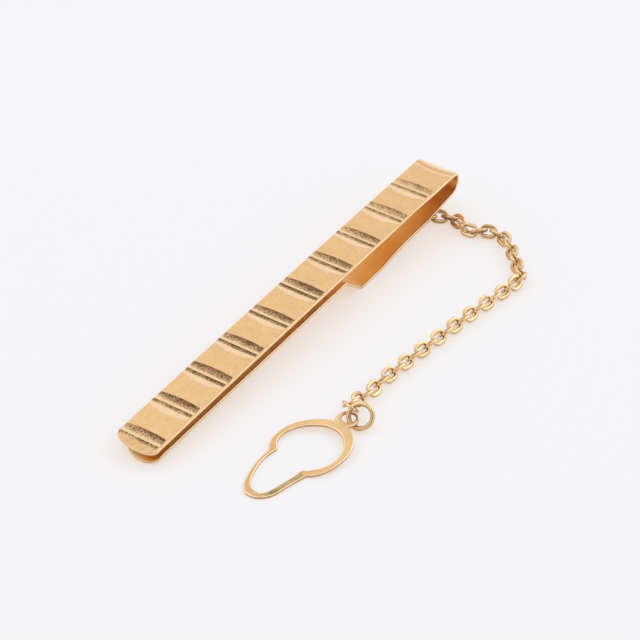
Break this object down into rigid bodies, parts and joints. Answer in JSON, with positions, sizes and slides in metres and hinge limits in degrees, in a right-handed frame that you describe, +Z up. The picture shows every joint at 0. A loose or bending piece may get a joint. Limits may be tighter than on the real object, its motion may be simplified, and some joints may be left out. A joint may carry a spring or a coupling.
{
  "type": "tie clip",
  "caption": "Sprung tie clip with a banded front bar, folded back spring leg, fine safety chain and a keyhole loop for a shirt button.",
  "frame": {"origin": "middle of the overall footprint, on the plane that the heel and the tip of the spring leg rest on", "axes": "+X along the front bar toward the fold, +Y across the bar away from the chain, +Z up, out of the shown face"},
  "size_m": [0.0676, 0.0236, 0.0059],
  "materials": {
    "bar_gold": "satin gold-plated sheet with bright cut facets",
    "leg_gold": "satin gold-plated spring strip",
    "chain_gold": "polished gold-plated wire",
    "loop_gold": "satin gold-plated sheet"
  },
  "bodies": {
    "clip_leg": {"spring_leg": "leg_gold", "anchor_eye": "chain_gold"},
    "clip_bar": {"front_bar": "bar_gold"},
    "chain_link_01": {"chain_link_01": "chain_gold"},
    "chain_link_02": {"chain_link_02": "chain_gold"},
    "chain_link_03": {"chain_link_03": "chain_gold"},
    "chain_link_04": {"chain_link_04": "chain_gold"},
    "chain_link_05": {"chain_link_05": "chain_gold"},
    "chain_link_06": {"chain_link_06": "chain_gold"},
    "chain_link_07": {"chain_link_07": "chain_gold"},
    "chain_link_08": {"chain_link_08": "chain_gold"},
    "chain_link_09": {"chain_link_09": "chain_gold"},
    "chain_link_10": {"chain_link_10": "chain_gold"},
    "chain_link_11": {"chain_link_11": "chain_gold"},
    "chain_link_12": {"chain_link_12": "chain_gold"},
    "chain_link_13": {"chain_link_13": "chain_gold"},
    "chain_link_14": {"chain_link_14": "chain_gold"},
    "chain_link_15": {"chain_link_15": "chain_gold"},
    "chain_link_16": {"chain_link_16": "chain_gold"},
    "chain_link_17": {"chain_link_17": "chain_gold"},
    "chain_link_18": {"chain_link_18": "chain_gold"},
    "chain_link_19": {"chain_link_19": "chain_gold"},
    "chain_link_20": {"chain_link_20": "chain_gold"},
    "chain_link_21": {"chain_link_21": "chain_gold"},
    "chain_link_22": {"chain_link_22": "chain_gold"},
    "chain_link_23": {"chain_link_23": "chain_gold"},
    "chain_link_24": {"chain_link_24": "chain_gold"},
    "chain_link_25": {"chain_link_25": "chain_gold"},
    "chain_link_26": {"chain_link_26": "chain_gold"},
    "chain_link_27": {"chain_link_27": "chain_gold"},
    "chain_link_28": {"chain_link_28": "chain_gold"},
    "chain_link_29": {"chain_link_29": "chain_gold"},
    "chain_link_30": {"chain_link_30": "chain_gold"},
    "chain_link_31": {"chain_link_31": "chain_gold"},
    "chain_link_32": {"chain_link_32": "chain_gold"},
    "chain_link_33": {"chain_link_33": "chain_gold"},
    "chain_link_34": {"chain_link_34": "chain_gold"},
    "chain_link_35": {"chain_link_35": "chain_gold"},
    "chain_link_36": {"chain_link_36": "chain_gold"},
    "chain_link_37": {"chain_link_37": "chain_gold"},
    "chain_link_38": {"chain_link_38": "chain_gold"},
    "chain_link_39": {"chain_link_39": "chain_gold"},
    "jump_ring": {"jump_ring": "chain_gold"},
    "button_loop": {"button_loop": "loop_gold"}
  },
  "joints": [
    {"name": "clip_opening", "type": "hinge", "parent": "clip_leg", "child": "clip_bar", "pos_m": [0.0338, 0.00883, 0.00434], "axis": [0, 1, 0], "range_deg": [0, 8], "stiffness_Nm_per_rad": 1, "springref_deg": -1.72},
    {"name": "chain_link_01_swing", "type": "hinge", "parent": "clip_leg", "child": "chain_link_01", "pos_m": [0.02799, 0.00763, 0.00078], "axis": [-0.1634, 0, 0.9866], "range_deg": [-8, 12]},
    {"name": "chain_link_02_swing", "type": "hinge", "parent": "chain_link_01", "child": "chain_link_02", "pos_m": [0.02918, 0.00648, 0.00078], "axis": [0.6528, 0.676, -0.342], "range_deg": [-30, 30]},
    {"name": "chain_link_03_swing", "type": "hinge", "parent": "chain_link_02", "child": "chain_link_03", "pos_m": [0.0299, 0.0051, 0.00078], "axis": [-0.6124, -0.3536, -0.7071], "range_deg": [-30, 30]},
    {"name": "chain_link_04_swing", "type": "hinge", "parent": "chain_link_03", "child": "chain_link_04", "pos_m": [0.03017, 0.00365, 0.00078], "axis": [-0.6861, -0.1711, 0.7071], "range_deg": [-8, 30]},
    {"name": "chain_link_05_swing", "type": "hinge", "parent": "chain_link_04", "child": "chain_link_05", "pos_m": [0.0294, 0.00243, 0.00078], "axis": [0.646, -0.2876, 0.7071], "range_deg": [-30, 30]},
    {"name": "chain_link_06_swing", "type": "hinge", "parent": "chain_link_05", "child": "chain_link_06", "pos_m": [0.02867, 0.00138, 0.00078], "axis": [0.5997, -0.3747, -0.7071], "range_deg": [-15, 30]},
    {"name": "chain_link_07_swing", "type": "hinge", "parent": "chain_link_06", "child": "chain_link_07", "pos_m": [0.02908, 0.00004, 0.00078], "axis": [-0.7032, -0.0739, -0.7071], "range_deg": [-8, 15]},
    {"name": "chain_link_08_swing", "type": "hinge", "parent": "chain_link_07", "child": "chain_link_08", "pos_m": [0.03026, -0.00073, 0.00078], "axis": [-0.4912, -0.5086, 0.7071], "range_deg": [-30, 30]},
    {"name": "chain_link_09_swing", "type": "hinge", "parent": "chain_link_08", "child": "chain_link_09", "pos_m": [0.03056, -0.00209, 0.00078], "axis": [0.6645, 0.2418, 0.7071], "range_deg": [-30, 30]},
    {"name": "chain_link_10_swing", "type": "hinge", "parent": "chain_link_09", "child": "chain_link_10", "pos_m": [0.03025, -0.00347, 0.00078], "axis": [0.7032, -0.0739, -0.7071], "range_deg": [-30, 18]},
    {"name": "chain_link_11_swing", "type": "hinge", "parent": "chain_link_10", "child": "chain_link_11", "pos_m": [0.02936, -0.00458, 0.00078], "axis": [-0.5997, 0.3747, -0.7071], "range_deg": [-30, 30]},
    {"name": "chain_link_12_swing", "type": "hinge", "parent": "chain_link_11", "child": "chain_link_12", "pos_m": [0.02832, -0.00569, 0.00078], "axis": [-0.5337, 0.4639, 0.7071], "range_deg": [-30, 30]},
    {"name": "chain_link_13_swing", "type": "hinge", "parent": "chain_link_12", "child": "chain_link_13", "pos_m": [0.02702, -0.00673, 0.00078], "axis": [0.4545, -0.5417, 0.7071], "range_deg": [-30, 30]},
    {"name": "chain_link_14_swing", "type": "hinge", "parent": "chain_link_13", "child": "chain_link_14", "pos_m": [0.02586, -0.00779, 0.00078], "axis": [0.4731, -0.5255, -0.7071], "range_deg": [-30, 30]},
    {"name": "chain_link_15_swing", "type": "hinge", "parent": "chain_link_14", "child": "chain_link_15", "pos_m": [0.02481, -0.00882, 0.00078], "axis": [-0.4912, 0.5086, -0.7071], "range_deg": [-30, 30]},
    {"name": "chain_link_16_swing", "type": "hinge", "parent": "chain_link_15", "child": "chain_link_16", "pos_m": [0.02379, -0.00989, 0.00078], "axis": [-0.5086, 0.4912, 0.7071], "range_deg": [-30, 30]},
    {"name": "chain_link_17_swing", "type": "hinge", "parent": "chain_link_16", "child": "chain_link_17", "pos_m": [0.02231, -0.00984, 0.00078], "axis": [0.0739, -0.7032, 0.7071], "range_deg": [-30, 30]},
    {"name": "chain_link_18_swing", "type": "hinge", "parent": "chain_link_17", "child": "chain_link_18", "pos_m": [0.02101, -0.00975, 0.00078], "axis": [-0.0185, -0.7069, -0.7071], "range_deg": [-30, 30]},
    {"name": "chain_link_19_swing", "type": "hinge", "parent": "chain_link_18", "child": "chain_link_19", "pos_m": [0.01974, -0.00949, 0.00078], "axis": [0.1106, 0.6984, -0.7071], "range_deg": [-30, 30]},
    {"name": "chain_link_20_swing", "type": "hinge", "parent": "chain_link_19", "child": "chain_link_20", "pos_m": [0.01829, -0.00928, 0.00078], "axis": [0.1045, 0.6993, 0.7071], "range_deg": [-30, 30]},
    {"name": "chain_link_21_swing", "type": "hinge", "parent": "chain_link_20", "child": "chain_link_21", "pos_m": [0.01666, -0.00906, 0.00078], "axis": [-0.0984, -0.7002, 0.7071], "range_deg": [-30, 30]},
    {"name": "chain_link_22_swing", "type": "hinge", "parent": "chain_link_21", "child": "chain_link_22", "pos_m": [0.01504, -0.00884, 0.00078], "axis": [-0.0923, -0.7011, -0.7071], "range_deg": [-30, 30]},
    {"name": "chain_link_23_swing", "type": "hinge", "parent": "chain_link_22", "child": "chain_link_23", "pos_m": [0.01341, -0.00865, 0.00078], "axis": [0.0862, 0.7018, -0.7071], "range_deg": [-30, 30]},
    {"name": "chain_link_24_swing", "type": "hinge", "parent": "chain_link_23", "child": "chain_link_24", "pos_m": [0.01178, -0.00846, 0.00078], "axis": [0.08, 0.7026, 0.7071], "range_deg": [-30, 30]},
    {"name": "chain_link_25_swing", "type": "hinge", "parent": "chain_link_24", "child": "chain_link_25", "pos_m": [0.01014, -0.00828, 0.00078], "axis": [-0.0776, -0.7028, 0.7071], "range_deg": [-30, 30]},
    {"name": "chain_link_26_swing", "type": "hinge", "parent": "chain_link_25", "child": "chain_link_26", "pos_m": [0.00849, -0.00811, 0.00078], "axis": [-0.0751, -0.7031, -0.7071], "range_deg": [-30, 30]},
    {"name": "chain_link_27_swing", "type": "hinge", "parent": "chain_link_26", "child": "chain_link_27", "pos_m": [0.00684, -0.00794, 0.00078], "axis": [0.0727, 0.7034, -0.7071], "range_deg": [-30, 30]},
    {"name": "chain_link_28_swing", "type": "hinge", "parent": "chain_link_27", "child": "chain_link_28", "pos_m": [0.00519, -0.00777, 0.00078], "axis": [0.0702, 0.7036, 0.7071], "range_deg": [-30, 30]},
    {"name": "chain_link_29_swing", "type": "hinge", "parent": "chain_link_28", "child": "chain_link_29", "pos_m": [0.00353, -0.00761, 0.00078], "axis": [-0.0678, -0.7039, 0.7071], "range_deg": [-30, 30]},
    {"name": "chain_link_30_swing", "type": "hinge", "parent": "chain_link_29", "child": "chain_link_30", "pos_m": [0.00188, -0.00746, 0.00078], "axis": [-0.0653, -0.7041, -0.7071], "range_deg": [-30, 30]},
    {"name": "chain_link_31_swing", "type": "hinge", "parent": "chain_link_30", "child": "chain_link_31", "pos_m": [0.00023, -0.00732, 0.00078], "axis": [0.0629, 0.7043, -0.7071], "range_deg": [-30, 30]},
    {"name": "chain_link_32_swing", "type": "hinge", "parent": "chain_link_31", "child": "chain_link_32", "pos_m": [-0.00143, -0.00717, 0.00078], "axis": [0.0604, 0.7045, 0.7071], "range_deg": [-30, 30]},
    {"name": "chain_link_33_swing", "type": "hinge", "parent": "chain_link_32", "child": "chain_link_33", "pos_m": [-0.00308, -0.00704, 0.00078], "axis": [-0.0579, -0.7047, 0.7071], "range_deg": [-30, 30]},
    {"name": "chain_link_34_swing", "type": "hinge", "parent": "chain_link_33", "child": "chain_link_34", "pos_m": [-0.00474, -0.00691, 0.00078], "axis": [-0.0555, -0.7049, -0.7071], "range_deg": [-30, 30]},
    {"name": "chain_link_35_swing", "type": "hinge", "parent": "chain_link_34", "child": "chain_link_35", "pos_m": [-0.0064, -0.00689, 0.00078], "axis": [0.0123, 0.707, -0.7071], "range_deg": [-30, 30]},
    {"name": "chain_link_36_swing", "type": "hinge", "parent": "chain_link_35", "child": "chain_link_36", "pos_m": [-0.00805, -0.00698, 0.00078], "axis": [-0.0308, 0.7064, 0.7071], "range_deg": [-30, 30]},
    {"name": "chain_link_37_swing", "type": "hinge", "parent": "chain_link_36", "child": "chain_link_37", "pos_m": [-0.0097, -0.00679, 0.00094], "axis": [-0.0064, -0.7098, 0.7044], "range_deg": [-30, 30]},
    {"name": "chain_link_38_swing", "type": "hinge", "parent": "chain_link_37", "child": "chain_link_38", "pos_m": [-0.01127, -0.00683, 0.00151], "axis": [-0.2123, -0.709, -0.6725], "range_deg": [-30, 30]},
    {"name": "chain_link_39_swing", "type": "hinge", "parent": "chain_link_38", "child": "chain_link_39", "pos_m": [-0.01278, -0.00666, 0.00184], "axis": [-0.0906, 0.7191, -0.689], "range_deg": [-18, 5]},
    {"name": "jump_ring_swing", "type": "hinge", "parent": "chain_link_39", "child": "jump_ring", "pos_m": [-0.01308, -0.00826, 0.00194], "axis": [-0.6308, 0.3279, 0.7032], "range_deg": [-4, 25]},
    {"name": "button_loop_swing", "type": "hinge", "parent": "jump_ring", "child": "button_loop", "pos_m": [-0.01377, -0.00774, 0.00098], "axis": [-0.473, -0.5636, -0.6772], "range_deg": [-10, 10]}
  ]
}
